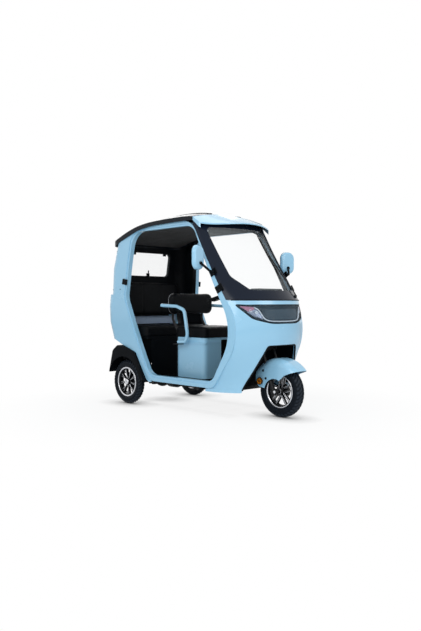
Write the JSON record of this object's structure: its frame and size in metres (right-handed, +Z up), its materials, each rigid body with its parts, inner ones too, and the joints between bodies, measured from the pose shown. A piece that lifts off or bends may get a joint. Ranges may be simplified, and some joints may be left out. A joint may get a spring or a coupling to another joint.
{
  "type": "electric passenger tricycle",
  "caption": "Half-open electric passenger tricycle: hooped cabin, curved screen and roof, driver's and rear bench seats, steered front wheel, driven rear axle.",
  "frame": {"origin": "on the ground in the middle of the vehicle's length and width", "axes": "+X forward, +Y to the left side, +Z up"},
  "size_m": [2.08, 1.3262, 1.7985],
  "materials": {
    "light_blue_paint": "glossy light blue moulded panel",
    "black_plastic": "black moulded plastic, fine grain",
    "gloss_black": "glossy navy black",
    "black_steel": "black powder coat",
    "black_vinyl": "black vinyl",
    "tyre": "matt black rubber",
    "rubber": "matt black rubber",
    "black_alloy": "satin black with machined bright edges",
    "cast_aluminium": "cast, satin",
    "chrome_steel": "bright plated steel",
    "clear_glass": "clear",
    "lens": "clear moulded lens",
    "mirror": "mirror glass",
    "red_lens": "red moulded lens",
    "amber_lens": "amber moulded lens",
    "grey_liner": "grey headlining"
  },
  "bodies": {
    "chassis": {"arch_liner": "black_plastic", "armrest_left": "light_blue_paint", "armrest_right": "light_blue_paint", "backrest_pad": "black_vinyl", "battery_pack": "black_plastic", "brake_pedal": "black_steel", "ceiling_liner": "grey_liner", "chassis_frame": "black_steel", "dashboard": "black_plastic", "door_hoop_left": "light_blue_paint", "door_hoop_right": "light_blue_paint", "drive_motor": "cast_aluminium", "floor_pan": "black_plastic", "headlight_housing": "black_plastic", "headlight_lens": "lens", "hoop_clips": "black_plastic", "leaf_springs": "black_steel", "mirror_arms": "black_plastic", "mirror_glasses": "mirror", "mirror_shells": "light_blue_paint", "nose_panel": "light_blue_paint", "quarter_panel_left": "light_blue_paint", "quarter_panel_right": "light_blue_paint", "rear_axle": "black_steel", "rear_backrest": "black_vinyl", "rear_bumper": "black_plastic", "rear_fender_left": "black_plastic", "rear_fender_right": "black_plastic", "rear_lining": "black_plastic", "rear_panel": "light_blue_paint", "rear_seat_base": "black_plastic", "rear_seat_cushion": "black_vinyl", "rear_window": "clear_glass", "roof_panel": "gloss_black", "roof_visor": "light_blue_paint", "seat_box": "light_blue_paint", "seat_cushion": "black_vinyl", "seat_frame": "black_steel", "tail_lamps": "red_lens", "toe_board": "black_plastic", "window_fittings": "black_plastic", "windscreen_glass": "clear_glass", "windscreen_surround": "gloss_black"},
    "steering": {"fork_legs": "black_steel", "steering_stem": "chrome_steel", "front_axle": "chrome_steel", "front_fender": "light_blue_paint", "turn_lamps": "amber_lens", "handlebar": "black_steel", "hand_grips": "rubber"},
    "front_wheel": {"front_tyre": "tyre", "front_rim": "black_alloy"},
    "rear_wheel_left": {"rear_tyre_left": "tyre", "rear_rim_left": "black_alloy"},
    "rear_wheel_right": {"rear_tyre_right": "tyre", "rear_rim_right": "black_alloy"}
  },
  "joints": [
    {"name": "steering_turn", "type": "hinge", "parent": "chassis", "child": "steering", "pos_m": [0.62853, 0, 0.65778], "axis": [-0.342, 0, 0.9397], "range_deg": [-38, 38]},
    {"name": "front_wheel_spin", "type": "hinge", "parent": "steering", "child": "front_wheel", "pos_m": [0.818, 0, 0.222], "axis": [0, 1, 0], "continuous": true},
    {"name": "rear_wheel_left_spin", "type": "hinge", "parent": "chassis", "child": "rear_wheel_left", "pos_m": [-0.732, 0.425, 0.21], "axis": [0, 1, 0], "continuous": true},
    {"name": "rear_wheel_right_spin", "type": "hinge", "parent": "chassis", "child": "rear_wheel_right", "pos_m": [-0.732, -0.425, 0.21], "axis": [0, 1, 0], "continuous": true}
  ]
}
